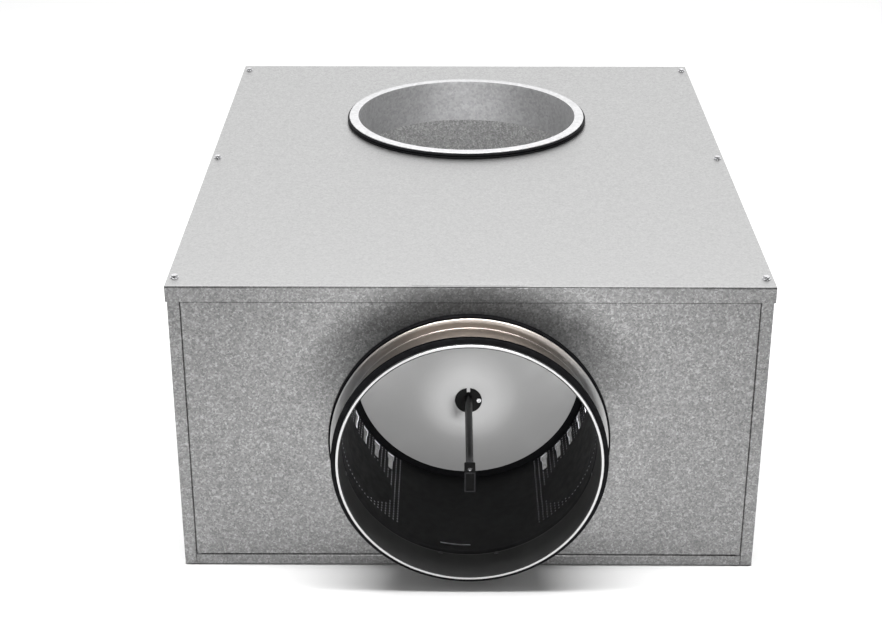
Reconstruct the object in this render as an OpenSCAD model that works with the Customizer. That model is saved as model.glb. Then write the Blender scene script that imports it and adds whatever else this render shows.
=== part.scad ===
// Ventilation plenum box: a screwed sheet-steel casing with a round outlet collar in its lid and a
// round inlet spigot in its front.  A cone slides on a rod inside a perforated tube behind the spigot.
// Frame: X to the right, Y from the inlet face to the rear, Z up.  The origin is the centre of the base.

/* [Casing] */
// Width over the lid
lid_w = 560; // [420:1:900]
// Depth over the lid, from the inlet face to the rear
lid_d = 696; // [560:1:1000]
// Height from the underside of the base to the top of the lid
box_h = 300; // [296:1:600]
// Thickness of all the casing sheets
sheet_t = 0.9; // [0.6:0.1:1.5]
// Inside radius of the sheet bends
bend_r = 0.6; // [0.5:0.1:2]
// Height of the skirt around the lid
skirt_h = 15.5; // [10:0.5:30]
// Gap between the skirt and the casing
lid_fit = 0.2; // [0.1:0.1:1]
// Width of the frame strip seen around the front and rear panels
flange_w = 12; // [8:0.5:25]
// Depth of the folds where a panel meets its frame
return_w = 15; // [8:0.5:25]
// Width of the top lips under the lid and of the bottom lips on the base
lip_w = 16; // [14:0.5:30]
// Thickness of the sealing strip under the lid
strip_t = 1.5; // [1:0.1:4]
// Width of the sealing strip
strip_w = 14; // [10:0.5:20]

/* [Lid screws and plate] */
// Distance of a screw from the side edge of the lid
screw_in_x = 6.7; // [5:0.1:12]
// Distance of the end screws from the front and rear edges of the lid
screw_in_y = 20.5; // [19:0.5:80]
// Screws along each side
screw_rows = 3; // [2:1:6]
// Radius of the screw thread
screw_r = 1.75; // [1:0.05:2.5]
// Length of the screw below the lid
screw_len = 13; // [8:0.5:25]
// Radius of the screw washer
screw_washer_r = 4.1; // [3:0.1:5]
// Size across the flats of the screw head
screw_af = 5.5; // [4:0.1:8]
// Height of the hexagon
screw_head_h = 2.8; // [1.5:0.1:5]
// Width of the blank plate at the front of the lid
plate_w = 107; // [60:1:160]
// Depth of the blank plate
plate_d = 10; // [8:0.5:40]
// Thickness of the blank plate
plate_t = 0.4; // [0.2:0.1:1]
// Distance from the front edge of the lid to the back of the plate
plate_back = 12.2; // [12:0.1:60]

/* [Outlet collar] */
// Distance from the rear edge of the lid to the outlet axis
outlet_back = 214; // [170:1:300]
// Bore radius of the outlet collar
outlet_r = 125.4; // [80:0.1:150]
// Wall of the collar
collar_t = 0.9; // [0.6:0.1:2]
// Length of the collar from its top rim down into the casing
collar_len = 49; // [25:1:80]
// Width of the collar's top flange
collar_flange_w = 10.4; // [8:0.2:15]
// Thickness of the folded top flange
collar_flange_t = 1.5; // [1:0.1:3]
// Thickness of the rubber ring between flange and lid
outlet_gasket_t = 5.2; // [4:0.2:8]
// Distance the ring's lips stand out past a flange
gasket_lip = 2; // [1:0.1:4]
// Distance the clinched bead under the lid stands out
bead_out = 2.3; // [1.5:0.1:4]

/* [Inlet spigot] */
// Radius of the duct that slides over the inlet
duct_r = 125; // [90:0.5:140]
// Clearance between the duct and the rim of the spigot
rim_fit = 0.3; // [0.1:0.1:1]
// Distance the rolled rim stands out from the sleeve
rim_lip = 2.5; // [1.5:0.1:5]
// Length of the rolled rim
rim_w = 3.4; // [2:0.1:6]
// Rounding of the rolled rim
rim_round = 0.5; // [0.3:0.1:1]
// Wall of the spigot sleeve
sleeve_t = 0.8; // [0.5:0.1:1.5]
// Distance from the front panel to the mouth of the spigot
spigot_reach = 47.2; // [35:0.1:90]
// Distance from the underside of the base to the lowest point of the inlet gasket
inlet_ground = 4.7; // [3:0.1:60]
// Distance from the front panel forward to the rear end of the sleeve
sleeve_back = 8; // [8:0.1:9]
// Wall of the neck that the flange ring has around the sleeve
neck_t = 0.7; // [0.5:0.1:1.5]
// Width of the flange ring around the sleeve
ring_w = 10; // [6:0.5:15]
// Thickness of the flange ring
ring_t = 1.5; // [1:0.1:3]
// Thickness of the gasket between the front panel and the tube flange
inlet_gasket_t = 4.8; // [3:0.1:8]
// Distance the duct seal's lips stand out past the duct
seal_lip = 4.4; // [2:0.1:6]
// Thickness of each lip
seal_lip_t = 1.5; // [1:0.1:2.5]
// Pitch of the two lips
seal_pitch = 3.4; // [3:0.1:8]
// Length of the seal's base band
seal_band_w = 11; // [8:0.5:20]

/* [Damper tube] */
// Gap between the sleeve and the tube around it
tube_fit = 0.4; // [0.2:0.1:1]
// Wall of the tube
tube_t = 1.2; // [0.8:0.1:3]
// Length of the tube behind the front panel
tube_len = 171; // [165:1:260]
// Depth of the wedge-shaped lip in the mouth of the tube
mouth_lip = 1.2; // [0.4:0.1:2]
// Gap between the tube and the hole in the front panel
panel_fit = 0.6; // [0.3:0.1:3]
// T-shaped slots on each side of the tube
slot_count = 12; // [4:1:12]
// Angle between neighbouring slots
slot_step = 9.33; // [8:0.01:10]
// Angle of the slot pattern's middle, measured from the bottom of the tube
slot_mid = 92; // [85:0.5:95]
// Width of a slot's stem
stem_w = 5.8; // [3:0.1:8]
// Length of a slot's stem
stem_len = 18.5; // [8:0.5:24]
// Width of a slot's head
head_w = 8.6; // [6:0.1:12]
// Length of a slot's head
head_len = 10.6; // [6:0.1:14]
// Distance from the front panel to the front end of a slot
slot_y = 110.9; // [100:0.5:112]
// Length around the tube of the reading slit at the bottom
slit_len = 30; // [15:1:40]
// Width of the reading slit
slit_w = 1.6; // [1:0.1:3]
// Angle of the reading slit's middle, measured from the bottom of the tube
slit_angle = -6; // [-10:0.5:10]
// Distance from the front panel to the reading slit
slit_y = 10.4; // [8:0.1:20]
// Distance from the front panel to the bridge across the tube
bridge_y = 158; // [156:0.5:158]
// Width of the bridge
bridge_w = 22; // [16:1:40]
// Thickness of the bridge
bridge_t = 2; // [1.5:0.1:3]
// Length of the bridge's end tabs
tab_len = 11; // [10:0.5:12]
// Radius of the rivets
rivet_r = 1.2; // [1:0.1:2]
// Radius of the rivet heads
rivet_head_r = 2; // [1.5:0.1:4]

/* [Guide rod and end block] */
// Width of the rod
rod_w = 7.1; // [5:0.1:10]
// Height of the rod, with round top and bottom
rod_h = 13.4; // [10:0.1:16]
// Distance from the front panel forward to the face of the end block
block_reach = 76.7; // [70:0.1:120]
// Length of the end block
block_len = 19; // [14:0.5:30]
// Width of the end block
block_w = 10.2; // [10.2:0.1:20]
// Height of the end block
block_h = 20.4; // [20.4:0.1:30]
// Rounding of the end block's edges
block_round = 0.8; // [0.4:0.1:1.2]
// Thickness of the end block in front of the rod
block_wall = 1.8; // [1.6:0.1:8]
// Radius of the set screw in the end block
set_screw_r = 1.9; // [1:0.1:2.2]
// Radius of the threaded end of the rod behind the bridge
stud_r = 3; // [2:0.1:3]
// Size across the flats of the nut on the threaded end
nut_af = 10; // [8:0.5:13]
// Thickness of that nut
nut_t = 5; // [3:0.5:6]

/* [Damper cone] */
// Distance from the front panel to the cone's edge with the damper open
cone_y = 143.4; // [142:0.1:144]
// Width of the rubber ring between the cone's edge and the tube
cone_gap = 7.5; // [5:0.1:15]
// Gap between the rubber ring and the tube
cone_fit = 0.3; // [0.2:0.1:1]
// Thickness of the cone sheet
cone_t = 1.2; // [0.8:0.1:2]
// Slope of the cone's outer part
cone_slope = 36; // [25:1:40]
// Radius of the cone's rounded nose
nose_r = 70; // [40:1:90]
// Depth of the straight rim at the cone's edge
cone_rim = 5; // [4:0.5:6]
// Radius of the hub's front disc
hub_r = 13.4; // [13:0.1:20]
// Thickness of the hub's front disc
hub_t = 1.2; // [1:0.1:8]
// Radius of the hub's sleeve on the rod
hub_sleeve_r = 8.8; // [8.5:0.1:9]
// Length of the hub's sleeve behind the cone
hub_sleeve_len = 38; // [20:1:40]
// Gap between the hub and the rod
rod_fit = 0.15; // [0.1:0.05:0.4]
// Width of the notch in the hub's front disc
notch_w = 3.4; // [2:0.1:5]
// Thickness of the ring nut behind the cone
ring_nut_t = 6; // [4:0.5:10]
// Distance from the hub axis to its lock screw
lock_x = 10.4; // [10:0.1:11]
// Height of the lock screw above the hub axis
lock_up = 0.6; // [0:0.1:1.3]
// Radius of the lock screw's head
lock_head_r = 2.3; // [1.5:0.1:2.8]

/* [Hidden] */
$fn = 96;
eps = 1;
fit = 0.1;
loose = 0.4;
inset = 0.2;
rivet_head_t = 0.8;
drill = 12;
body_w = lid_w - 2 * (sheet_t + lid_fit);
body_d = lid_d - 2 * (sheet_t + lid_fit);
body_top = box_h - sheet_t - strip_t;
lid_under = box_h - sheet_t;
frame_x = body_w / 2 - flange_w;
corner = bend_r + sheet_t;
face_y = -body_d / 2;
screw_x = lid_w / 2 - screw_in_x;
screw_ys = [for (i = [0:screw_rows - 1])
    (lid_d / 2 - screw_in_y) * (2 * i / (screw_rows - 1) - 1)];
outlet_y = lid_d / 2 - outlet_back;
collar_top = box_h + outlet_gasket_t + collar_flange_t;
collar_hole_r = outlet_r + collar_t + loose;
collar_flange_r = outlet_r + collar_flange_w;
rim_r = duct_r - rim_fit;
sleeve_r = rim_r - rim_lip;
tube_r = sleeve_r + tube_fit;
tube_out_r = tube_r + tube_t;
panel_hole_r = tube_out_r + panel_fit;
ring_r = sleeve_r + ring_w;
inlet_z = ring_r + gasket_lip - inset + inlet_ground;
tube_front = -inlet_gasket_t - tube_t;
tube_flange_r = ring_r - 0.7;
cone_r = tube_r - cone_gap;
flat_r = hub_r - 1.4;
nose_out = nose_r * sin(cone_slope);
cone_depth = nose_r * (1 - cos(cone_slope)) + (cone_r - flat_r - nose_out) * tan(cone_slope);
seat_y = cone_y - cone_depth;
block_front = -block_reach;
set_screw_z = block_front + block_wall + set_screw_r;
spigot_rivet_z = -sleeve_back - 2 * rivet_r;
spigot_rivet_angles = [-104, -76, -13, 13, 76, 104];
rear_rivet_z = bridge_y + bridge_t / 2 + tab_len / 2;
bridge_back = bridge_y + bridge_t;
washer_t = 1;
tab_x = sqrt(pow(tube_r - inset, 2) - pow(bridge_w / 2, 2));

// Sheet profiles: a line of points with square corners becomes a bent strip of even thickness.
function dir(a, b) = (b - a) / norm(b - a);
function left(a, b) = [-dir(a, b)[1], dir(a, b)[0]];
function shifted(p, t) = [for (i = [0:len(p) - 1])
    p[i] + t * ((i > 0 ? left(p[i - 1], p[i]) : [0, 0])
              + (i < len(p) - 1 ? left(p[i], p[i + 1]) : [0, 0]))];
function bend(a, b, c, r) = [for (q = [0:22.5:90])
    b + r * (dir(b, a) + dir(b, c)) - r * (cos(q) * dir(b, c) + sin(q) * dir(b, a))];
function bent(p, r) = [p[0], for (i = [1:len(p) - 2]) each bend(p[i - 1], p[i], p[i + 1], r),
                       p[len(p) - 1]];
function backwards(p) = [for (i = [len(p) - 1:-1:0]) p[i]];

// All bends turn left, so the given line is the outside of the strip.
module strip_profile(p) {
    polygon(concat(bent(p, corner), backwards(bent(shifted(p, sheet_t), bend_r))));
}

// Extrudes a YZ profile along X, centred.
module along_x(length) {
    translate([-length / 2, 0, 0]) rotate([90, 0, 90]) linear_extrude(length) children();
}

// Extrudes an XZ profile along Y, centred.
module along_y(length) {
    translate([0, length / 2, 0]) rotate([90, 0, 0]) linear_extrude(length) children();
}

// Places children on the inlet axis, with their +Z to the rear and 0 at the front panel.
module on_inlet() {
    translate([0, face_y, inlet_z]) rotate([-90, 0, 0]) children();
}

// Turns children about the inlet axis by an angle from the bottom, positive to the right.
module at_angle(a) {
    rotate([0, 0, -a]) children();
}

module tube(r_in, r_out, z0, z1) {
    rotate_extrude() translate([r_in, z0]) square([r_out - r_in, z1 - z0]);
}

module at_lid_screws() {
    for (x = [-screw_x, screw_x], y = screw_ys) translate([x, y, 0]) children();
}

module hexagon(af, h) {
    cylinder(h = h, r = af / 2 / cos(30), $fn = 6);
}

// Flat section with round top and bottom, as the rod has.
module slot_section(w, h) {
    square([w, h - w], center = true);
    for (s = [-1, 1]) translate([0, s * (h - w) / 2]) circle(d = w);
}

// Rivets from the inside of a round wall, with their heads between r_in and the axis.
module rivets(angles, z, r_in, r_end) {
    head_top = sqrt(pow(r_in, 2) - pow(rivet_head_r, 2)) - fit / 2;
    for (a = angles) at_angle(a) translate([0, head_top - rivet_head_t, z]) rotate([-90, 0, 0]) {
        cylinder(h = r_end - head_top + rivet_head_t, r = rivet_r);
        cylinder(h = rivet_head_t, r = rivet_head_r);
    }
}

// Drilled holes for rivets, straight out through a wall of radius r.
module rivet_holes(angles, z, r) {
    for (a = angles) at_angle(a) translate([0, r - drill / 2, z]) rotate([-90, 0, 0])
        cylinder(h = drill, r = rivet_r);
}

module base_panel() {
    color([0.60, 0.61, 0.62]) {
        along_x(2 * frame_x) strip_profile([
            [-body_d / 2 + return_w, flange_w], [-body_d / 2, flange_w], [-body_d / 2, 0],
            [body_d / 2, 0], [body_d / 2, flange_w], [body_d / 2 - return_w, flange_w]]);
        for (s = [-1, 1]) translate([s * (frame_x + body_w / 2) / 2, 0, sheet_t / 2])
            cube([flange_w, body_d - 2 * corner, sheet_t], center = true);
    }
}

module side_panel() {
    inside = body_d - 2 * return_w - 2 * fit;
    difference() {
        union() {
            translate([0, 0, sheet_t]) linear_extrude(body_top - sheet_t) strip_profile([
                [frame_x, -body_d / 2 + return_w], [frame_x, -body_d / 2],
                [body_w / 2, -body_d / 2], [body_w / 2, body_d / 2],
                [frame_x, body_d / 2], [frame_x, body_d / 2 - return_w]]);
            for (z = [sheet_t, body_top - sheet_t])
                translate([body_w / 2 - lip_w, -inside / 2, z])
                    cube([lip_w - sheet_t / 2, inside, sheet_t]);
        }
        at_lid_screws() translate([0, 0, body_top - drill / 2]) cylinder(h = drill, r = screw_r + fit);
    }
}

module right_side_panel() { color([0.58, 0.59, 0.60]) side_panel(); }

module left_side_panel() { color([0.58, 0.59, 0.60]) mirror([1, 0, 0]) side_panel(); }

module end_panel() {
    lip_x = body_w / 2 - lip_w - loose;
    translate([0, 0, flange_w + corner]) linear_extrude(body_top - flange_w - 2 * corner)
        strip_profile([[-frame_x, face_y + return_w], [-frame_x, face_y],
                       [frame_x, face_y], [frame_x, face_y + return_w]]);
    along_x(2 * lip_x) strip_profile([
        [face_y + lip_w, body_top], [face_y, body_top],
        [face_y, flange_w], [face_y + return_w, flange_w]]);
    translate([-frame_x + corner, face_y, flange_w + corner])
        cube([2 * (frame_x - corner), sheet_t, body_top - flange_w - corner]);
}

module front_panel() {
    color([0.56, 0.57, 0.58]) difference() {
        end_panel();
        on_inlet() translate([0, 0, -eps]) cylinder(h = sheet_t + 2 * eps, r = panel_hole_r);
    }
}

module rear_panel() { color([0.56, 0.57, 0.58]) mirror([0, 1, 0]) end_panel(); }

module lid_panel() {
    skirt_z = box_h - skirt_h;
    color([0.82, 0.82, 0.83]) difference() {
        union() {
            along_x(lid_w) strip_profile([
                [lid_d / 2, skirt_z], [lid_d / 2, box_h], [-lid_d / 2, box_h], [-lid_d / 2, skirt_z]]);
            along_y(lid_d - 2 * corner) strip_profile([
                [lid_w / 2, skirt_z], [lid_w / 2, box_h], [-lid_w / 2, box_h], [-lid_w / 2, skirt_z]]);
        }
        translate([0, outlet_y, box_h - drill / 2]) cylinder(h = drill, r = collar_hole_r);
        at_lid_screws() translate([0, 0, box_h - drill / 2]) cylinder(h = drill, r = screw_r + fit);
    }
}

module lid_sealing_strip() {
    outer_w = body_w - 2 * bend_r;
    outer_d = body_d - 2 * bend_r;
    color([0.15, 0.15, 0.16]) difference() {
        translate([0, 0, body_top + strip_t / 2]) cube([outer_w, outer_d, strip_t], center = true);
        translate([0, 0, body_top + strip_t / 2])
            cube([outer_w - 2 * strip_w, outer_d - 2 * strip_w, strip_t + eps], center = true);
        at_lid_screws() translate([0, 0, body_top - drill / 2]) cylinder(h = drill, r = screw_r + fit);
    }
}

module lid_screws() {
    head_washer_t = 0.7;
    tip_len = 3;
    tip_r = 0.3;
    color([0.78, 0.78, 0.79]) at_lid_screws() translate([0, 0, box_h]) {
        cylinder(h = head_washer_t, r = screw_washer_r);
        hexagon(screw_af, screw_head_h);
        translate([0, 0, tip_len - screw_len]) cylinder(h = screw_len - tip_len, r = screw_r);
        translate([0, 0, -screw_len]) cylinder(h = tip_len, r1 = tip_r, r2 = screw_r);
    }
}

module blank_plate() {
    color([0.80, 0.80, 0.81])
        translate([-plate_w / 2, -lid_d / 2 + plate_back - plate_d, box_h])
            cube([plate_w, plate_d, plate_t]);
}

module outlet_collar() {
    edge_r = collar_flange_t / 2;
    bead_h = 2.3;
    color([0.86, 0.86, 0.87]) translate([0, outlet_y, 0]) rotate_extrude() {
        translate([outlet_r, collar_top - collar_len]) square([collar_t, collar_len]);
        translate([outlet_r, collar_top - collar_flange_t])
            square([collar_flange_w - edge_r, collar_flange_t]);
        translate([collar_flange_r - edge_r, collar_top - edge_r]) circle(r = edge_r);
        translate([outlet_r, lid_under - bead_h]) square([collar_t + bead_out - bead_h / 2, bead_h]);
        translate([outlet_r + collar_t + bead_out - bead_h / 2, lid_under - bead_h / 2])
            circle(d = bead_h);
    }
}

// Rubber ring from r_in to the two round lips that stand out past a flange of radius r_flange.
module lipped_ring(r_in, r_flange, z0, t) {
    lip_r = 0.22 * t;
    body_r = r_flange + gasket_lip - lip_r;
    rotate_extrude() {
        translate([r_in, z0]) square([body_r - lip_r / 2 - r_in, t]);
        for (z = [z0 + lip_r, z0 + t - lip_r]) translate([body_r, z]) circle(r = lip_r);
    }
}

module outlet_gasket() {
    color([0.04, 0.04, 0.05]) translate([0, outlet_y, 0])
        lipped_ring(outlet_r + collar_t + inset, collar_flange_r, box_h, outlet_gasket_t);
}

module inlet_spigot() {
    mouth = -spigot_reach;
    color([0.72, 0.72, 0.73]) on_inlet() difference() {
        rotate_extrude() {
            translate([sleeve_r - sleeve_t, mouth + rim_round])
                square([sleeve_t, spigot_reach - sleeve_back - rim_round]);
            translate([sleeve_r - sleeve_t + rim_round, mouth])
                square([rim_lip + sleeve_t - 2 * rim_round, rim_w]);
            translate([sleeve_r, mouth + rim_round]) square([rim_lip, rim_w - 2 * rim_round]);
            for (x = [sleeve_r - sleeve_t + rim_round, rim_r - rim_round])
                translate([x, mouth + rim_round]) circle(r = rim_round);
            translate([rim_r - rim_round, mouth + rim_w - rim_round]) circle(r = rim_round);
        }
        rivet_holes(spigot_rivet_angles, spigot_rivet_z, sleeve_r);
    }
}

module inlet_duct_seal() {
    front = -spigot_reach + rim_w;
    base_t = 1.8;
    root = sleeve_r + base_t / 2;
    tip = duct_r + seal_lip;
    taper = 1;
    lean = 0.4;
    color([0.05, 0.05, 0.06]) on_inlet() rotate_extrude() {
        translate([sleeve_r, front]) square([base_t, seal_band_w]);
        for (z = [front, front + seal_pitch]) polygon([
            [root, z], [tip - taper, z + lean], [tip, z + lean + seal_lip_t / 5],
            [tip, z + lean + seal_lip_t * 4 / 5], [tip - taper, z + lean + seal_lip_t],
            [root, z + seal_lip_t]]);
    }
}

// Ring with a neck that reaches forward along the sleeve to the duct seal.
module inlet_flange_ring() {
    edge_r = ring_t / 2;
    front = -spigot_reach + rim_w + seal_band_w;
    corner_r = 0.5;
    color([0.62, 0.60, 0.57]) on_inlet() difference() {
        rotate_extrude() {
            translate([sleeve_r, tube_front - ring_t]) square([ring_w - edge_r, ring_t]);
            translate([ring_r - edge_r, tube_front - edge_r]) circle(r = edge_r);
            translate([sleeve_r, front]) square([neck_t, tube_front - front]);
            translate([sleeve_r + neck_t, tube_front - ring_t]) circle(r = corner_r);
        }
        rivet_holes(spigot_rivet_angles, spigot_rivet_z, sleeve_r);
    }
}

module inlet_gasket() {
    color([0.04, 0.04, 0.05]) on_inlet()
        lipped_ring(tube_out_r + inset, ring_r - inset, -inlet_gasket_t, inlet_gasket_t);
}

module spigot_rivets() {
    color([0.75, 0.75, 0.76]) on_inlet()
        rivets(spigot_rivet_angles, spigot_rivet_z, sleeve_r - sleeve_t, sleeve_r + neck_t);
}

module t_slot() {
    cut_r = tube_r - drill / 2;
    translate([-stem_w / 2, cut_r, slot_y]) cube([stem_w, drill, stem_len + eps]);
    translate([-head_w / 2, cut_r, slot_y + stem_len]) cube([head_w, drill, head_len]);
}

module damper_tube() {
    lip_back = -1.5;
    color([0.09, 0.09, 0.10]) on_inlet() difference() {
        rotate_extrude() polygon([
            [tube_r, tube_front], [tube_flange_r, tube_front], [tube_flange_r, tube_front + tube_t],
            [tube_out_r, tube_front + tube_t], [tube_out_r, tube_len], [tube_r, tube_len],
            [tube_r, lip_back + mouth_lip / 2], [tube_r - mouth_lip, lip_back]]);
        for (s = [-1, 1], i = [0:slot_count - 1])
            at_angle(s * (slot_mid + slot_step * (i - (slot_count - 1) / 2))) t_slot();
        at_angle(slit_angle) translate([-slit_len / 2, tube_r - drill / 2, slit_y])
            cube([slit_len, drill, slit_w]);
        rivet_holes([-90, 90], rear_rivet_z, tube_r);
    }
}

module rod_bridge() {
    color([0.70, 0.70, 0.71]) on_inlet() difference() {
        union() {
            translate([0, 0, bridge_y + bridge_t / 2])
                cube([2 * tab_x, bridge_w, bridge_t], center = true);
            for (s = [-1, 1]) translate([s * (tab_x - bridge_t / 2), 0, bridge_y + tab_len / 2])
                cube([bridge_t, bridge_w, tab_len], center = true);
        }
        translate([0, 0, bridge_y - eps]) cylinder(h = bridge_t + 2 * eps, r = stud_r + fit);
        rivet_holes([-90, 90], rear_rivet_z, tab_x);
    }
}

module bridge_rivets() {
    color([0.75, 0.75, 0.76]) on_inlet() {
        rivets([-90, 90], rear_rivet_z, tab_x - bridge_t, tube_out_r + rivet_head_t);
        for (a = [-90, 90]) at_angle(a) translate([0, tube_out_r, rear_rivet_z])
            rotate([-90, 0, 0]) cylinder(h = rivet_head_t, r = rivet_head_r);
    }
}

module guide_rod() {
    rod_front = block_front + block_wall;
    stud_end = 4;
    color([0.12, 0.12, 0.13]) on_inlet() {
        translate([0, 0, rod_front]) linear_extrude(bridge_y - rod_front) slot_section(rod_w, rod_h);
        translate([0, 0, bridge_y]) cylinder(h = bridge_t + nut_t + stud_end, r = stud_r);
    }
}

module rod_end_block() {
    rim = 1.4;
    recess = 1;
    color([0.06, 0.06, 0.07]) on_inlet() difference() {
        translate([0, 0, block_front]) linear_extrude(block_len) {
            square([block_w, block_h - 2 * block_round], center = true);
            square([block_w - 2 * block_round, block_h], center = true);
            for (x = [-1, 1], y = [-1, 1])
                translate([x * (block_w / 2 - block_round), y * (block_h / 2 - block_round)])
                    circle(r = block_round);
        }
        translate([0, 0, block_front])
            cube([block_w - 2 * rim, block_h - 2 * rim, 2 * recess], center = true);
        translate([0, 0, block_front + block_wall]) linear_extrude(block_len)
            slot_section(rod_w, rod_h);
        translate([0, -block_h / 2 - eps, set_screw_z]) rotate([-90, 0, 0])
            cylinder(h = block_h / 2, r = set_screw_r);
    }
}

module block_set_screw() {
    socket_af = 2;
    socket_d = 1.6;
    proud = 1.9;
    color([0.80, 0.80, 0.82]) on_inlet() translate([0, -block_h / 2 - proud, set_screw_z])
        rotate([-90, 0, 0]) difference() {
            cylinder(h = block_h / 2 + proud - rod_h / 2, r = set_screw_r);
            translate([0, 0, -eps]) hexagon(socket_af, socket_d + eps);
        }
}

module rod_washer() {
    color([0.80, 0.80, 0.82]) on_inlet()
        tube(stud_r + fit, nut_af * 0.62, bridge_back, bridge_back + washer_t);
}

module rod_nut() {
    color([0.80, 0.80, 0.82]) on_inlet() difference() {
        translate([0, 0, bridge_back + washer_t]) hexagon(nut_af, nut_t);
        translate([0, 0, bridge_back]) cylinder(h = nut_t + washer_t + eps, r = stud_r);
    }
}

function cone_z(r) = seat_y + (r < flat_r ? 0
    : r < flat_r + nose_out ? nose_r - sqrt(pow(nose_r, 2) - pow(r - flat_r, 2))
    : cone_depth - (cone_r - r) * tan(cone_slope));
function cone_stations() = [hub_sleeve_r + fit, flat_r,
    for (i = [1:10]) flat_r + nose_out * i / 10, cone_r];

module damper_cone() {
    front = [for (r = cone_stations()) [r, cone_z(r)]];
    last = [cone_r, cone_y];
    color([0.78, 0.78, 0.78]) on_inlet() difference() {
        rotate_extrude() polygon(concat(front, [
            last + [0, cone_rim], last + [-cone_t, cone_rim], last + [-cone_t, cone_t * 0.5]],
            backwards([for (p = front) if (p[0] < cone_r) p + [0, cone_t]])));
        lock_hole(seat_y - eps, cone_t + 2 * eps);
    }
}

module cone_edge_seal() {
    grip = 2.5;
    lip_t = 1.2;
    color([0.04, 0.04, 0.05]) on_inlet() rotate_extrude() {
        translate([cone_r, cone_y]) square([grip, cone_rim]);
        for (z = [cone_y, cone_y + cone_rim - lip_t])
            translate([cone_r, z]) square([cone_gap - cone_fit, lip_t]);
    }
}

module lock_hole(z, h) {
    translate([lock_x, -lock_up, z]) cylinder(h = h, r = rivet_r);
}

module cone_hub() {
    back = seat_y + cone_t;
    color([0.05, 0.05, 0.06]) on_inlet() difference() {
        union() {
            translate([0, 0, seat_y - hub_t]) cylinder(h = hub_t, r = hub_r);
            translate([0, 0, seat_y - eps]) cylinder(h = back + hub_sleeve_len - seat_y + eps,
                                                     r = hub_sleeve_r);
        }
        translate([0, 0, seat_y - hub_t - eps]) linear_extrude(hub_t + hub_sleeve_len + 4 * eps)
            slot_section(rod_w + 2 * rod_fit, rod_h + 2 * rod_fit);
        translate([-notch_w / 2, -hub_r - eps, seat_y - hub_t - eps])
            cube([notch_w, hub_r - hub_sleeve_r + eps, hub_t + 2 * eps]);
        lock_hole(seat_y - hub_t - eps, hub_t + eps);
    }
}

// The front face is flat as far as the cone's flat and then slopes away from the cone.
module hub_ring_nut() {
    front = seat_y + cone_t;
    back = front + ring_nut_t;
    nut_r = hub_r + 2;
    color([0.05, 0.05, 0.06]) on_inlet() difference() {
        rotate_extrude() polygon([[hub_sleeve_r, front], [flat_r, front], [nut_r, front + 0.6],
                                  [nut_r, back], [hub_sleeve_r, back]]);
        lock_hole(front - eps, ring_nut_t / 2 + eps);
    }
}

module hub_lock_screw() {
    head_t = 1.4;
    socket_af = 1.6;
    socket_d = 1;
    front = seat_y - hub_t;
    color([0.82, 0.82, 0.84]) on_inlet() difference() {
        union() {
            translate([lock_x, -lock_up, front - head_t]) cylinder(h = head_t, r = lock_head_r);
            lock_hole(front - head_t, head_t + hub_t + cone_t + ring_nut_t / 2);
        }
        translate([lock_x, -lock_up, front - head_t - eps]) hexagon(socket_af, socket_d + eps);
    }
}

base_panel();
left_side_panel();
right_side_panel();
front_panel();
rear_panel();
lid_panel();
lid_sealing_strip();
lid_screws();
blank_plate();
outlet_collar();
outlet_gasket();
inlet_spigot();
inlet_duct_seal();
inlet_flange_ring();
inlet_gasket();
spigot_rivets();
damper_tube();
rod_bridge();
bridge_rivets();
guide_rod();
rod_end_block();
block_set_screw();
rod_washer();
rod_nut();
damper_cone();
cone_edge_seal();
cone_hub();
hub_ring_nut();
hub_lock_screw();
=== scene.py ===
"""Looks of the ventilation plenum box with its cone damper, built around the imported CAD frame."""

import math

import bmesh
import bpy
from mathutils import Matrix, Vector
from mathutils.geometry import delaunay_2d_cdt


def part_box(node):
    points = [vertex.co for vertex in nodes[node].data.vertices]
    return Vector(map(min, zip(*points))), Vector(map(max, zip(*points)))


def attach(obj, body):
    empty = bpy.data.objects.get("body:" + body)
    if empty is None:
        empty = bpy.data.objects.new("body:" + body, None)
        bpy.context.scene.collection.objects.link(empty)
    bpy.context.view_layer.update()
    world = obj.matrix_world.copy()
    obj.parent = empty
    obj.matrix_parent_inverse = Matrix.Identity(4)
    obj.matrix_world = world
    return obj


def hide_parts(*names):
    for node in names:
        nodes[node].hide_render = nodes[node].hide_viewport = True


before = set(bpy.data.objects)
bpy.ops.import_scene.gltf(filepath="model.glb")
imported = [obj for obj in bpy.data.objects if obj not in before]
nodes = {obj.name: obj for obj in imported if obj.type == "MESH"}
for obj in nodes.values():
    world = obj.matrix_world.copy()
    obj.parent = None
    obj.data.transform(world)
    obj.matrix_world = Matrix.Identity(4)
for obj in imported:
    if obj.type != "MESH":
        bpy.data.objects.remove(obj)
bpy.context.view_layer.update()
scene = bpy.context.scene
scene.view_settings.view_transform = "Standard"

MM = 0.001
X, Y, Z = 0, 1, 2

# ---------------------------------------------------------------- places taken from the frame

rim_lo, rim_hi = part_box("inlet_spigot")
tube_lo, tube_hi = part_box("damper_tube")
panel_lo, panel_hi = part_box("front_panel")
AXIS_X = (rim_lo.x + rim_hi.x) / 2
AXIS_Z = (rim_lo.z + rim_hi.z) / 2
PANEL_Y = panel_lo.y
RIM_R = (rim_hi.x - rim_lo.x) / 2
block_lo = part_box("rod_end_block")[0]
SEAM_X = panel_hi.x
SEAM_Z = panel_lo.z
lid_lo, lid_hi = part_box("lid_panel")
gasket_lo, gasket_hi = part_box("inlet_gasket")
GASKET_R = (gasket_hi.x - gasket_lo.x) / 2
SKIRT_Z = lid_lo.z
LID_FACE, LID_EDGE = lid_hi.z - 0.11 * MM, lid_hi.z - 4 * MM
RIM_BACK, SLEEVE_END = rim_lo.y + 3.4 * MM, rim_hi.y - 0.5 * MM
SLEEVE_PAINT_R, RIM_PAINT_R = RIM_R - 2.9 * MM, RIM_R - 2.2 * MM
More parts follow.
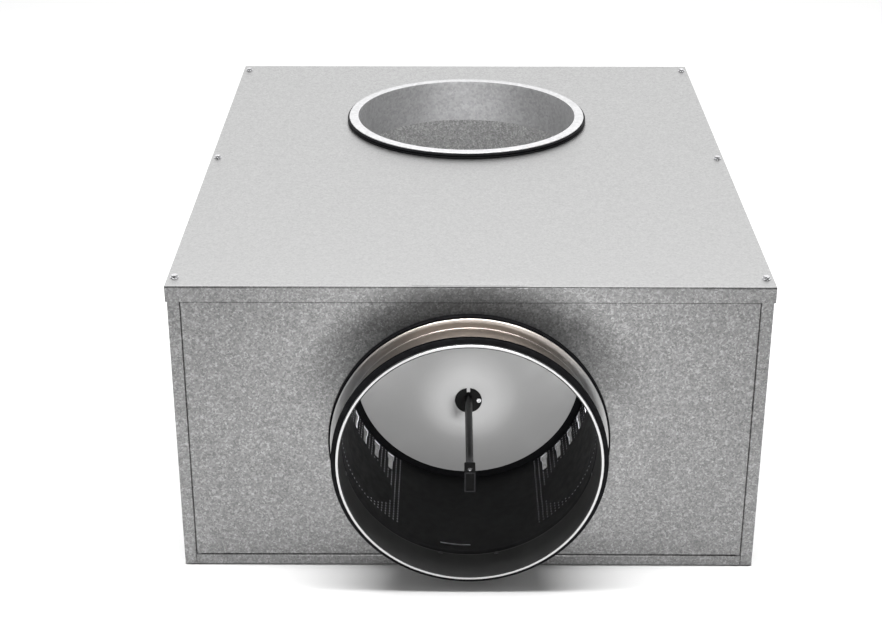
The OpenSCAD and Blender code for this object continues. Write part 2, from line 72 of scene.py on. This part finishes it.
NECK_R, FLANGE_R = RIM_R - 2.6 * MM, RIM_R - 1.5 * MM
# Height over which the flange's painted reflection turns warm and lighter.
FLANGE_REFLECTION_FROM, FLANGE_REFLECTION_TO = AXIS_Z + 0.07, AXIS_Z + 0.125
# Height and reach of the painted shadow over the inlet.
INLET_SHADOW_FROM, INLET_SHADOW_TO, INLET_SHADOW_WIDTH = AXIS_Z + 0.03, AXIS_Z + 0.12, 0.05
BLOCK_HIGHLIGHT_FROM, BLOCK_HIGHLIGHT_TO = block_lo.y + 0.15 * MM, block_lo.y + 0.5 * MM
CONE_HIGHLIGHT_R = 60 * MM


# ---------------------------------------------------------------- camera and stage

CAMERA_PLACE = (-0.0187, -1.7958, 0.9419)
CAMERA_TURN = (math.radians(90 - 24.834), 0, math.radians(0.322))
CAMERA_LENS, CAMERA_SENSOR = 70.83, 36
FLOOR_SIZE, FLOOR_Z = 14, -0.0005
SPOT_BLEND, SPOT_R = 0.4, 0.12
SKY_SPAN, SKY_STRENGTH = (-0.5, 0.5), (0.12, 1.6)
INSIDE_X, INSIDE_AIM_X = 0.2, 0.19


def make_camera():
    """The camera, with place, angle and lens as solved from the corners of the box in the picture."""
    data = bpy.data.cameras.new("camera")
    data.lens = CAMERA_LENS
    data.sensor_width = CAMERA_SENSOR
    data.clip_start, data.clip_end = 0.05, 60
    cam = bpy.data.objects.new("camera", data)
    cam.location = CAMERA_PLACE
    cam.rotation_euler = CAMERA_TURN
    scene.collection.objects.link(cam)
    scene.camera = cam


def mesh_object(name, bm):
    mesh = bpy.data.meshes.new(name)
    bm.to_mesh(mesh)
    bm.free()
    obj = bpy.data.objects.new(name, mesh)
    scene.collection.objects.link(obj)
    return obj


def make_stage(floor_material):
    bm = bmesh.new()
    bmesh.ops.create_grid(bm, x_segments=1, y_segments=1, size=FLOOR_SIZE)
    floor = mesh_object("floor", bm)
    floor.location.z = FLOOR_Z
    floor.data.materials.append(floor_material)


def add_lamp(name, data, power, place, target):
    """Hangs a lamp at place, turned to target, and keeps it out of the camera's sight."""
    data.energy = power
    lamp = bpy.data.objects.new(name, data)
    lamp.location = place
    lamp.rotation_euler = (Vector(target) - Vector(place)).to_track_quat("-Z", "Y").to_euler()
    lamp.visible_camera = False
    scene.collection.objects.link(lamp)


def area_light(name, place, target, size, power):
    data = bpy.data.lights.new(name, "AREA")
    data.shape = "RECTANGLE"
    data.size, data.size_y = size
    add_lamp(name, data, power, place, target)


def spot_light(name, place, target, spread, power):
    data = bpy.data.lights.new(name, "SPOT")
    data.spot_size = spread
    data.spot_blend = SPOT_BLEND
    data.shadow_soft_size = SPOT_R
    add_lamp(name, data, power, place, target)


def make_world():
    """A white sky that brightens from the inlet's side to the rear."""
    world = bpy.data.worlds.new("studio")
    scene.world = world
    world.use_nodes = True
    tree = world.node_tree
    direction = tree.nodes.new("ShaderNodeTexCoord").outputs["Generated"]
    parts = tree.nodes.new("ShaderNodeSeparateXYZ")
    tree.links.new(direction, parts.inputs[0])
    fade = tree.nodes.new("ShaderNodeMapRange")
    for socket, value in enumerate((*SKY_SPAN, *SKY_STRENGTH), start=1):
        fade.inputs[socket].default_value = value
    tree.links.new(parts.outputs["Y"], fade.inputs[0])
    tree.links.new(fade.outputs[0], tree.nodes["Background"].inputs["Strength"])
    tree.nodes["Background"].inputs["Color"].default_value = (1, 1, 1, 1)


def make_lights():
    """Soft lights above and over the front, a narrow spot on the inlet, and small lights in the casing.

    Each has its place, its target, its size or spread, and its power in watts.
    """
    area_light("overhead", (0, 0.6, 2.8), (0, 0.5, 0), (2.4, 1.6), 50)
    area_light("foreground", (0, -0.43, 1.6), (0, -0.43, 0), (1.8, 0.25), 46)
    spot_light("front", (0.2, -3.2, 0.3), (0, -0.35, 0.14), math.radians(10), 190)
    for side in (-1, 1):
        area_light("inside_tube_side", (side * INSIDE_X, -0.16, 0.25), (side * INSIDE_AIM_X, -0.2, 0),
                   (0.1, 0.22), 1.2)
    area_light("inside_rear", (0, -0.05, 0.2), (0, 0.1, 0), (0.45, 0.1), 0.9)


# ---------------------------------------------------------------- material building blocks

class Look:
    """A node material, with short calls for the nodes it is made of."""

    def __init__(self, name, metallic=0.0, roughness=0.5, **sockets):
        self.material = bpy.data.materials.new(name)
        self.material.use_nodes = True
        self.tree = self.material.node_tree
        self.shader = self.tree.nodes["Principled BSDF"]
        self.set(self.shader, "Metallic", metallic)
        self.set(self.shader, "Roughness", roughness)
        for key, value in sockets.items():
            self.set(self.shader, key.replace("_", " "), value)
        self.coords = self.tree.nodes.new("ShaderNodeTexCoord").outputs["Object"]

    def set(self, node, socket, value):
        if hasattr(value, "is_output"):
            self.tree.links.new(value, node.inputs[socket])
        else:
            node.inputs[socket].default_value = value

    def node(self, kind, out=0, props=None, **sockets):
        made = self.tree.nodes.new(kind)
        for key, value in (props or {}).items():
            setattr(made, key, value)
        for key, value in sockets.items():
            numbered = key[0] == "i" and key[1:].isdigit()
            self.set(made, int(key[1:]) if numbered else key.replace("_", " "), value)
        return made.outputs[out]

    def along(self, axis):
        """The coordinate along axis 0, 1 or 2, for X, Y or Z."""
        return self.node("ShaderNodeSeparateXYZ", axis, Vector=self.coords)

    def noise(self, scale, detail, out=0):
        return self.node("ShaderNodeTexNoise", out, Vector=self.coords, Scale=scale, Detail=detail)

    def ramp(self, value, stops):
        made = self.tree.nodes.new("ShaderNodeValToRGB")
        elements = made.color_ramp.elements
        while len(elements) < len(stops):
            elements.new(0.5)
        for element, (place, shade) in zip(elements, stops):
            element.position = place
            element.color = (*shade, 1) if isinstance(shade, tuple) else (shade, shade, shade, 1)
        self.set(made, "Fac", value)
        return made.outputs["Color"]

    def span(self, value, low, high, to_low, to_high):
        return self.node("ShaderNodeMapRange", i0=value, i1=low, i2=high, i3=to_low, i4=to_high)

    def math(self, operation, a, b=0.0):
        return self.node("ShaderNodeMath", props={"operation": operation}, i0=a, i1=b)

    def tint(self, color, shade):
        return self.node("ShaderNodeMix", 2, {"data_type": "RGBA", "blend_type": "MULTIPLY"},
                         i0=1.0, i6=color, i7=shade)

    def blend(self, factor, a, b):
        return self.node("ShaderNodeMix", 2, {"data_type": "RGBA"}, i0=factor, i6=a, i7=b)

    def bump(self, height, strength, distance):
        made = self.tree.nodes.new("ShaderNodeBump")
        self.set(made, "Height", height)
        self.set(made, "Strength", strength)
        self.set(made, "Distance", distance)
        return made.outputs["Normal"]

    def rounded(self, radius):
        return self.node("ShaderNodeBevel", props={"samples": 4}, Radius=radius)

    def surface(self, **sockets):
        for key, value in sockets.items():
            self.set(self.shader, key.replace("_", " "), value)
        return self.material


# ---------------------------------------------------------------- materials

def radius_from_inlet(look):
    """Distance from the inlet axis."""
    offset = look.node("ShaderNodeVectorMath", props={"operation": "SUBTRACT"},
                       i0=look.coords, i1=(AXIS_X, 0, AXIS_Z))
    flat = look.node("ShaderNodeVectorMath", props={"operation": "MULTIPLY"}, i0=offset, i1=(1, 0, 1))
    return look.node("ShaderNodeVectorMath", 1, {"operation": "LENGTH"}, i0=flat)


def spangle(look, grain):
    """Zinc crystals: two sizes of wandering patches, from 0 to 1."""
    wander = look.noise(420, 2.0, out=1)
    warped = look.node("ShaderNodeMix", 1, {"data_type": "VECTOR"}, i0=0.0025, i4=look.coords, i5=wander)
    coarse = look.node("ShaderNodeTexVoronoi", 1, {"feature": "F1"}, Vector=warped, Scale=0.5 / grain)
    fine = look.node("ShaderNodeTexVoronoi", 1, {"feature": "F1"}, Vector=warped, Scale=1 / grain)
    patches = look.node("ShaderNodeSeparateColor", 0, Color=coarse)
    specks = look.node("ShaderNodeSeparateColor", 1, Color=fine)
    return look.math("ADD", look.math("MULTIPLY", patches, 0.3), look.math("MULTIPLY", specks, 0.7))


SHEET_GRAIN, SPUN_GRAIN = 0.0015, 0.0024
SEAM_REACH = 1.5 * MM
SEAMS = {"sides": (SEAM_X, 0.75), "bottom": (SEAM_Z, 0.7), "skirt": (SKIRT_Z - 0.6 * MM, 0.4)}


def seam_shade(look, seam):
    """Darker line where two sheets meet, by the distance from the middle or by the height."""
    place, darkest = SEAMS[seam]
    if seam == "sides":
        along = look.math("ABSOLUTE", look.along(X))
    else:
        along = look.along(Z)
    near = look.math("ABSOLUTE", look.math("SUBTRACT", along, place))
    return look.ramp(look.span(near, 0, SEAM_REACH, 0, 1), [(0.2, darkest), (0.6, 0.95), (0.9, 1.0)])


def paint_shadow_over_inlet(look):
    """Painted shadow on the zinc just over the inlet, fading outwards from its gasket."""
    upper = look.span(look.along(Z), INLET_SHADOW_FROM, INLET_SHADOW_TO, 0, 1)
    shade = look.ramp(look.span(radius_from_inlet(look), GASKET_R, GASKET_R + INLET_SHADOW_WIDTH, 0, 1),
                      [(0.0, 0.25), (0.4, 0.36), (0.75, 0.74), (1.0, 1.0)])
    return look.blend(upper, (1, 1, 1, 1), shade)


def galvanised(name, base, contrast, roughness=0.45, seams=(), painted_lit_top=None, painted_inlet_shadow=False):
    """Hot-dip galvanised sheet: zinc crystals as patches of slightly different brightness and gloss.

    The lid's top face takes the given lighter colour as painted light, above a band of painted shade at the
    bend.
    """
    look = Look(name, metallic=1.0)
    mixed = spangle(look, SHEET_GRAIN)
    shade = look.ramp(mixed, [(0.0, 1 - contrast), (0.35, 1 - 0.45 * contrast), (0.6, 1.0),
                              (0.78, 1 + 0.55 * contrast), (1.0, 1 + 1.5 * contrast)])
    clouds = look.ramp(look.noise(9, 4.0), [(0.3, 0.95), (0.7, 1.05)])
    gloss = look.span(mixed, 0.1, 0.9, roughness + 0.07, roughness - 0.06)
    relief = look.bump(mixed, 0.12, 0.0002)
    color = look.tint(look.tint((*base, 1), shade), clouds)
    if painted_lit_top:
        height = look.along(Z)
        smooth = look.ramp(mixed, [(0.0, 0.88), (1.0, 1.15)])
        # Painted shade: a dark band along the lid's bend below the top face.
        edge = look.ramp(look.span(height, LID_EDGE, lid_hi.z, 0, 1),
                         [(0.5, 1.0), (0.62, 0.6), (0.85, 0.6), (0.885, 0.1)])
        on_top = look.math("GREATER_THAN", height, LID_FACE)
        # The skirt takes the painted shade at the bend and the painted shadow over the inlet.
        skirt = look.tint(look.tint(color, edge), paint_shadow_over_inlet(look))
        color = look.blend(on_top, skirt, look.tint((*painted_lit_top, 1), smooth))
    for seam in seams:
        color = look.tint(color, seam_shade(look, seam))
    # Painted shadow over the inlet.
    if painted_inlet_shadow:
        color = look.tint(color, paint_shadow_over_inlet(look))
    return look.surface(Base_Color=color, Roughness=gloss, Normal=relief)


def spun_steel(name, base, roughness=0.24, metallic=1.0, contrast=0.08):
    """Smooth bright sheet with a faint grain."""
    look = Look(name, metallic=metallic)
    mixed = spangle(look, SPUN_GRAIN)
    shade = look.ramp(mixed, [(0.1, 1 - contrast), (0.9, 1 + contrast)])
    smear = look.noise(60, 4.0)
    gloss = look.span(smear, 0.3, 0.7, roughness - 0.05, roughness + 0.08)
    relief = look.bump(look.noise(700, 2.0), 0.06, 0.0001)
    return look.surface(Base_Color=look.tint((*base, 1), shade), Roughness=gloss, Normal=relief)


def spigot_steel(name):
    """Bright rolled rim and sleeve, with the inside of the sleeve painted black and its rear end bare."""
    look = Look(name)
    radius = radius_from_inlet(look)
    depth = look.along(Y)
    at_rim = look.math("LESS_THAN", depth, RIM_BACK)
    limit = look.span(at_rim, 0, 1, SLEEVE_PAINT_R, RIM_PAINT_R)
    bright = look.math("GREATER_THAN", radius, limit)
    grain = look.ramp(look.noise(900, 3.0), [(0.3, 0.93), (0.7, 1.05)])
    paint = look.ramp(look.noise(60, 4.0), [(0.3, 0.020), (0.7, 0.028)])
    cut = look.math("GREATER_THAN", depth, SLEEVE_END)
    inside_tone = look.blend(cut, paint, (0.12, 0.12, 0.12, 1))
    color = look.blend(bright, inside_tone, look.tint((0.48, 0.48, 0.48, 1), grain))
    gloss = look.span(bright, 0, 1, 0.5, 0.3)
    relief = look.bump(look.noise(1500, 2.0), 0.06, 0.00008)
    return look.surface(Base_Color=color, Metallic=bright, Roughness=gloss, Normal=relief,
                        Specular_IOR_Level=0.2)


def flange_steel(name):
    """Rolled steel with a painted reflection that makes it warm and lighter at the top and plain lower down,
    darker on the neck and black on its inner side.
    """
    look = Look(name, metallic=1.0)
    radius = radius_from_inlet(look)
    reach = look.span(radius, NECK_R, FLANGE_R, 0, 1)
    neck = (0.42, 0.37, 0.33)
    painted_warm_reflection = look.ramp(reach, [(0.25, 0.02), (0.4, neck), (0.75, neck), (1.0, (0.80, 0.73, 0.67))])
    plain = look.ramp(reach, [(0.25, 0.02), (0.4, 0.2), (0.75, 0.2), (1.0, 0.36)])
    # Painted reflection: the warm, lighter tones fade in towards the top of the flange.
    tone = look.blend(look.span(look.along(Z), FLANGE_REFLECTION_FROM, FLANGE_REFLECTION_TO, 0, 1), plain, painted_warm_reflection)
    haze = look.ramp(look.noise(35, 4.0), [(0.3, 0.9), (0.7, 1.08)])
    gloss = look.span(look.noise(500, 2.0), 0.3, 0.7, 0.3, 0.42)
    relief = look.bump(look.noise(1200, 2.0), 0.08, 0.00008)
    return look.surface(Base_Color=look.tint(tone, haze), Roughness=gloss, Normal=relief)


def rubber(name):
    """Black rubber with a little dust."""
    look = Look(name, Specular_IOR_Level=0.03)
    dust = look.noise(240, 5.0)
    shade = look.ramp(dust, [(0.3, (0.0035, 0.0035, 0.004)), (0.75, (0.009, 0.009, 0.010))])
    gloss = look.span(look.noise(80, 3.0), 0.3, 0.7, 0.4, 0.6)
    relief = look.bump(look.noise(1400, 3.0), 0.10, 0.0001)
    return look.surface(Base_Color=shade, Roughness=gloss, Normal=relief)


def black_plastic(name, low, high, roughness, specular):
    """Black plastic in tones from low to high, with a faint haze and a fine grain."""
    look = Look(name, Specular_IOR_Level=specular)
    haze = look.noise(45, 4.0)
    shade = look.ramp(haze, [(0.3, (low, low, low * 1.05)), (0.7, (high, high, high * 1.06))])
    gloss = look.span(look.noise(120, 3.0), 0.3, 0.7, roughness - 0.06, roughness + 0.08)
    relief = look.bump(look.noise(2200, 2.0), 0.12, 0.00008)
    return look.surface(Base_Color=shade, Roughness=gloss, Normal=relief)


def block_plastic(name):
    """Black block whose front edge is lighter, a painted highlight."""
    look = Look(name, Specular_IOR_Level=0.03)
    depth = look.along(Y)
    # Painted highlight along the block's front edge.
    painted_rim_highlight = look.span(depth, BLOCK_HIGHLIGHT_FROM, BLOCK_HIGHLIGHT_TO, 1, 0)
    haze = look.ramp(look.noise(160, 3.0), [(0.3, 0.004), (0.7, 0.007)])
    color = look.blend(painted_rim_highlight, haze, (0.018, 0.018, 0.019, 1))
    gloss = look.span(look.noise(300, 3.0), 0.3, 0.7, 0.32, 0.46)
    return look.surface(Base_Color=color, Roughness=gloss, Normal=look.rounded(0.3 * MM))


def cone_metal(name):
    """Satin grey cone with a painted highlight that makes it lighter round the middle, and very fine turning
    marks around its axis.
    """
    look = Look(name, metallic=0.0, Specular_IOR_Level=0.35)
    radius = radius_from_inlet(look)
    # Painted highlight: lighter round the middle, darker outwards.
    tone = look.ramp(look.span(radius, 0, CONE_HIGHLIGHT_R, 0, 1),
                     [(0.45, 0.60), (0.65, 0.56), (0.85, 0.52), (1.0, 0.51)])
    lines = look.node("ShaderNodeTexNoise", 0, {"noise_dimensions": "1D"},
                      W=radius, Scale=1500.0, Detail=2.0)
    haze = look.ramp(look.noise(14, 4.0), [(0.3, 0.97), (0.7, 1.02)])
    gloss = look.span(lines, 0.3, 0.7, 0.50, 0.62)
    relief = look.bump(lines, 0.08, 0.00005)
    return look.surface(Base_Color=look.tint(tone, haze), Roughness=gloss, Normal=relief)


def zinc(name):
    """Bright zinc-plated screws, rivets and nuts."""
    look = Look(name, metallic=1.0)
    tone = look.ramp(look.noise(900, 3.0), [(0.3, (0.42, 0.42, 0.43)), (0.7, (0.56, 0.56, 0.57))])
    gloss = look.span(look.noise(500, 2.0), 0.3, 0.7, 0.18, 0.34)
    return look.surface(Base_Color=tone, Roughness=gloss, Normal=look.rounded(0.00025))


def pale_floor():
    look = Look("pale_floor", roughness=0.9, Specular_IOR_Level=0.1)
    tone = look.ramp(look.noise(2.0, 2.0), [(0.3, 0.70), (0.7, 0.71)])
    return look.surface(Base_Color=tone)


# ---------------------------------------------------------------- perforated tube

HOLE_R = 0.85 * MM
HOLE_SIDES = 12
ROW_PITCH = 4.8 * MM
FIRST_ROW = 19.1 * MM
ROWS = 26
SLOT_STEP = math.radians(9.33)
SLOT_MID = math.radians(92)
SLOTS = 12
SLOT_COLUMNS = 4
STEM_W, STEM_LEN = 5.8 * MM, 18.5 * MM
HEAD_W, HEAD_LEN = 8.6 * MM, 10.6 * MM
SLOT_Y = 110.9 * MM
SLIT_STEPS = 10
SLIT_MID, SLIT_LEN, SLIT_W, SLIT_Y = math.radians(-6), 30 * MM, 1.6 * MM, 10.4 * MM
BLANK_Y, BLANK_R = 63.6 * MM, 41.7 * MM
BLANK_MARGIN, BLANK_SIDE = 0.006, math.radians(0.2)
BLANK_EDGE, SLOT_CLEAR = HOLE_R * 0.6, HOLE_R * 1.5
LIP, LIP_BACK, LIP_LEN = 1.2 * MM, -1.5 * MM, 0.6 * MM
TUBE_IN, TUBE_WALL = 122.6 * MM, 1.2 * MM
TUBE_MID = TUBE_IN + TUBE_WALL / 2
HALF_TURN = math.pi * TUBE_MID
GRID_COLUMNS, GRID_ROWS = 120, 14
GRID_GAP = 0.0015
CELL = 0.008
RING_STEPS = 144
SUNK = 0.1 * MM
SAME, MERGE = 1e-6, 1e-7
SHARP = math.radians(30)


def t_slot_outline(s):
    """Corners of a T-shaped slot around arc position s, in (arc, y)."""
    top = SLOT_Y + STEM_LEN
    end = top + HEAD_LEN
    return [(s - STEM_W / 2, SLOT_Y), (s + STEM_W / 2, SLOT_Y), (s + STEM_W / 2, top),
            (s + HEAD_W / 2, top), (s + HEAD_W / 2, end), (s - HEAD_W / 2, end),
            (s - HEAD_W / 2, top), (s - STEM_W / 2, top)]


def slot_places(side):
    """Arc positions of the T-slots on one side, -1 or 1."""
    return [side * (SLOT_MID + SLOT_STEP * (i - (SLOTS - 1) / 2)) * TUBE_MID for i in range(SLOTS)]


def in_blank(s, y, side):
    """True inside the round-ended area without holes in the middle of the pattern."""
    reach = (SLOTS / 2 * SLOT_STEP + BLANK_SIDE) * TUBE_MID - BLANK_R - BLANK_MARGIN
    off = max(0.0, abs(s - side * SLOT_MID * TUBE_MID) - reach)
    return math.hypot(off, y - BLANK_Y) < BLANK_R + BLANK_EDGE


def hole_centres(side):
    """The middles of the round holes on one side, without those that would run into a T-slot."""
    column = SLOT_STEP / SLOT_COLUMNS * TUBE_MID
    first = SLOT_MID * TUBE_MID - (SLOTS * SLOT_COLUMNS / 2 + 0.5) * column
    slots = slot_places(1)
    centres = []
    for c in range(SLOTS * SLOT_COLUMNS + 2):
        s = first + c * column
        near = min(abs(s - p) for p in slots)
        for r in range(ROWS):
            y = FIRST_ROW + r * ROW_PITCH
            cut = near < STEM_W / 2 + HOLE_R and y > SLOT_Y - SLOT_CLEAR
            cut = cut or (near < HEAD_W / 2 + HOLE_R and y > SLOT_Y + STEM_LEN - SLOT_CLEAR)
            if not cut and not in_blank(side * s, y, side):
                centres.append((side * s, y))
    return centres


def tube_pattern():
    """Every cut-out of the tube as closed loops in (arc, y): round holes, T-slots and the reading slit."""
    holes = [c for side in (-1, 1) for c in hole_centres(side)]
    loops = [[(s + HOLE_R * math.cos(a), y + HOLE_R * math.sin(a))
              for a in (2 * math.pi * k / HOLE_SIDES for k in range(HOLE_SIDES))] for s, y in holes]
    loops += [t_slot_outline(s) for side in (-1, 1) for s in slot_places(side)]
    mid = SLIT_MID * TUBE_MID
    across = [mid + SLIT_LEN * (k / SLIT_STEPS - 0.5) for k in range(SLIT_STEPS + 1)]
    loops.append([(s, SLIT_Y) for s in across] + [(s, SLIT_Y + SLIT_W) for s in reversed(across)])
    return loops


def inside(loop, x, y):
    """True when the point lies inside the closed loop."""
    hit = False
    for (x0, y0), (x1, y1) in zip(loop, loop[1:] + loop[:1]):
        if (y0 > y) != (y1 > y) and x < (x1 - x0) * (y - y0) / (y1 - y0) + x0:
            hit = not hit
    return hit


def round_axis(angle, y, r):
    """The point at an angle from the bottom, y behind the front panel's face and r from the inlet axis."""
    return Vector((AXIS_X + r * math.sin(angle), PANEL_Y + y, AXIS_Z - r * math.cos(angle)))


def grown_box(loop):
    """The ranges of a cut-out in arc and in y, with the gap that the grid keeps from it."""
    return [(min(p[axis] for p in loop) - GRID_GAP, max(p[axis] for p in loop) + GRID_GAP)
            for axis in (0, 1)]


def sheet_outline(loops, front, back):
    """Points and edges of the flat sheet: cut-outs, both ends, and a grid that keeps the roll round."""
    points, edges = [], []
    for loop in loops:
        start = len(points)
        points += loop
        edges += [(start + k, start + (k + 1) % len(loop)) for k in range(len(loop))]
    columns = [-HALF_TURN + 2 * HALF_TURN * k / GRID_COLUMNS for k in range(GRID_COLUMNS + 1)]
    for row in (front, back):
        start = len(points)
        points += [(s, row) for s in columns]
        edges += [(start + k, start + k + 1) for k in range(GRID_COLUMNS)]
    grown = [grown_box(loop) for loop in loops]
    for k in range(1, GRID_ROWS):
        y = front + (back - front) * k / GRID_ROWS
        near = [arc for arc, depth in grown if depth[0] < y < depth[1]]
        points += [(s, y) for s in columns if not any(arc[0] < s < arc[1] for arc in near)]
    return points, edges


def cells(values):
    """The search cells that a range of values reaches into."""
    return range(math.floor(min(values) / CELL), math.floor(max(values) / CELL) + 1)


def outside_cuts(verts, faces, loops):
    """The faces of the flat sheet whose middle lies in no cut-out."""
    by_cell = {}
    for loop in loops:
        for i in cells([p[0] for p in loop]):
            for j in cells([p[1] for p in loop]):
                by_cell.setdefault((i, j), []).append(loop)
    kept = []
    for face in faces:
        x = sum(verts[k][0] for k in face) / len(face)
        y = sum(verts[k][1] for k in face) / len(face)
        near = by_cell.get((math.floor(x / CELL), math.floor(y / CELL)), [])
        if not any(inside(loop, x, y) for loop in near):
            kept.append(face)
    return kept


def close_seam(verts, faces):
    """The same faces, with the vertices at one long edge of the sheet replaced by those at the other."""
    seam = {round(v[1], 6): k for k, v in enumerate(verts) if abs(v[0] - HALF_TURN) < SAME}
    joined = [seam[round(v[1], 6)] if abs(v[0] + HALF_TURN) < SAME else k for k, v in enumerate(verts)]
    return [tuple(joined[k] for k in face) for face in faces]


def roll_up(bm, verts, faces):
    """Rolls the sheet into an inner and an outer skin, and closes each free edge with a wall."""
    inner, outer = [[bm.verts.new(round_axis(v[0] / TUBE_MID, v[1], r)) for v in verts]
                    for r in (TUBE_IN, TUBE_IN + TUBE_WALL)]
    for face in faces:
        bm.faces.new([inner[k] for k in face]).smooth = True
        bm.faces.new([outer[k] for k in reversed(face)]).smooth = True
    edges = dict.fromkeys(pair for face in faces for pair in zip(face, face[1:] + face[:1]))
    for a, b in edges:
        if (b, a) not in edges:
            wall = bm.faces.new((inner[b], inner[a], outer[a], outer[b]))
            wall.smooth = False
            # The walls take the second material, painted light for the lit inside seen through the holes.
            wall.material_index = 1
    bmesh.ops.delete(bm, geom=[v for v in bm.verts if not v.link_faces], context="VERTS")


def add_ring(bm, section):
    """Adds a ring round the inlet axis, with a section in (radius, y)."""
    loops = [[bm.verts.new(round_axis(2 * math.pi * k / RING_STEPS, y, r)) for r, y in section]
             for k in range(RING_STEPS)]
    for k in range(RING_STEPS):
        a, b = loops[k], loops[(k + 1) % RING_STEPS]
        for j in range(len(section)):
            n = (j + 1) % len(section)
            bm.faces.new((a[j], a[n], b[n], b[j])).smooth = True


def perforated_tube():
    """The damper tube: a pierced sheet rolled round the inlet axis, with its front flange and mouth lip."""
    front = tube_lo.y - PANEL_Y
    back = tube_hi.y - PANEL_Y
    loops = tube_pattern()
    points, edges = sheet_outline(loops, front, back)
    made = delaunay_2d_cdt([Vector(p) for p in points], edges, [], 0, MERGE)
    verts, faces = made[0], made[2]
    bm = bmesh.new()
    roll_up(bm, verts, close_seam(verts, outside_cuts(verts, faces, loops)))
    flange_r = (tube_hi.x - tube_lo.x) / 2
    flange_in = TUBE_IN + TUBE_WALL - SUNK
    add_ring(bm, [(flange_in, front), (flange_r, front),
                  (flange_r, front + TUBE_WALL), (flange_in, front + TUBE_WALL)])
    lip_end = LIP_BACK + LIP_LEN
    add_ring(bm, [(TUBE_IN + SUNK, front), (TUBE_IN, front), (TUBE_IN - LIP, LIP_BACK),
                  (TUBE_IN, lip_end), (TUBE_IN + SUNK, lip_end)])
    bmesh.ops.recalc_face_normals(bm, faces=bm.faces)
    for edge in bm.edges:
        if len(edge.link_faces) == 2 and edge.calc_face_angle(0) > SHARP:
            edge.smooth = False
    return mesh_object("perforated_damper_tube", bm)


# ---------------------------------------------------------------- dressing the CAD nodes

def dress(node, material):
    mesh = nodes[node].data
    mesh.materials.clear()
    mesh.materials.append(material)


make_camera()
make_stage(pale_floor())
make_world()
make_lights()

# The third tone is painted light: the lid's top face is lighter than the same sheet elsewhere.
SHEET, REAR_SHEET, LID_TOP_PAINTED_LIGHT, PLATE = [(tone, tone, tone) for tone in (0.225, 0.35, 0.30, 0.315)]
STRONG, FAINT = 0.34, 0.12
sheet_panel = galvanised("galvanised_panel", SHEET, STRONG, seams=("sides", "bottom", "skirt"),
                         painted_inlet_shadow=True)
sheet_rear = galvanised("galvanised_rear", REAR_SHEET, STRONG, seams=("sides", "bottom", "skirt"))
sheet_side = galvanised("galvanised_side", SHEET, STRONG, seams=("sides",))
sheet_base = galvanised("galvanised_base", SHEET, STRONG, seams=("bottom",))
sheet_lid = galvanised("galvanised_lid", SHEET, STRONG, roughness=0.40, painted_lit_top=LID_TOP_PAINTED_LIGHT)
sheet_plate = galvanised("galvanised_plate", PLATE, FAINT, roughness=0.40)
collar_steel = spun_steel("collar_steel", (0.35, 0.35, 0.355), 0.42, 0.5, 0.14)
bridge_steel = spun_steel("bridge_steel", (0.5, 0.5, 0.5))
spigot = spigot_steel("spigot_steel")
flange = flange_steel("flange_steel")
black_rubber = rubber("black_rubber")
tube_black = black_plastic("tube_black", 0.017, 0.022, 0.5, 0.12)
rod_black = black_plastic("rod_black", 0.024, 0.032, 0.35, 0.3)
hub_black = black_plastic("hub_black", 0.005, 0.008, 0.4, 0.08)
block_black = block_plastic("block_black")
rivet_grey = black_plastic("rivet_grey", 0.03, 0.045, 0.4, 0.4)
cone_grey = cone_metal("cone_grey")
zinc_plate = zinc("zinc_plate")

DRESS = {
    "base_panel": sheet_base, "left_side_panel": sheet_side, "right_side_panel": sheet_side,
    "front_panel": sheet_panel, "rear_panel": sheet_rear, "lid_panel": sheet_lid, "blank_plate": sheet_plate,
    "lid_sealing_strip": black_rubber, "lid_screws": zinc_plate, "outlet_collar": collar_steel,
    "outlet_gasket": black_rubber, "inlet_spigot": spigot, "inlet_duct_seal": black_rubber,
    "inlet_flange_ring": flange, "inlet_gasket": black_rubber, "spigot_rivets": rivet_grey,
    "rod_bridge": bridge_steel, "bridge_rivets": zinc_plate, "guide_rod": rod_black,
    "rod_end_block": block_black, "block_set_screw": zinc_plate, "rod_washer": zinc_plate,
    "rod_nut": zinc_plate, "damper_cone": cone_grey, "cone_edge_seal": black_rubber,
    "cone_hub": hub_black, "hub_ring_nut": hub_black, "hub_lock_screw": zinc_plate,
}
for node_name, look_material in DRESS.items():
    dress(node_name, look_material)

tube = perforated_tube()
tube.data.materials.append(tube_black)
# The hole walls are bare cut edges in part, lit far above bare metal as painted light for the inside seen
# through the holes.
tube.data.materials.append(black_plastic("tube_hole_wall_painted_light", 0.6, 0.8, 0.5, 0.3))
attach(tube, "casing")
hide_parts("damper_tube")
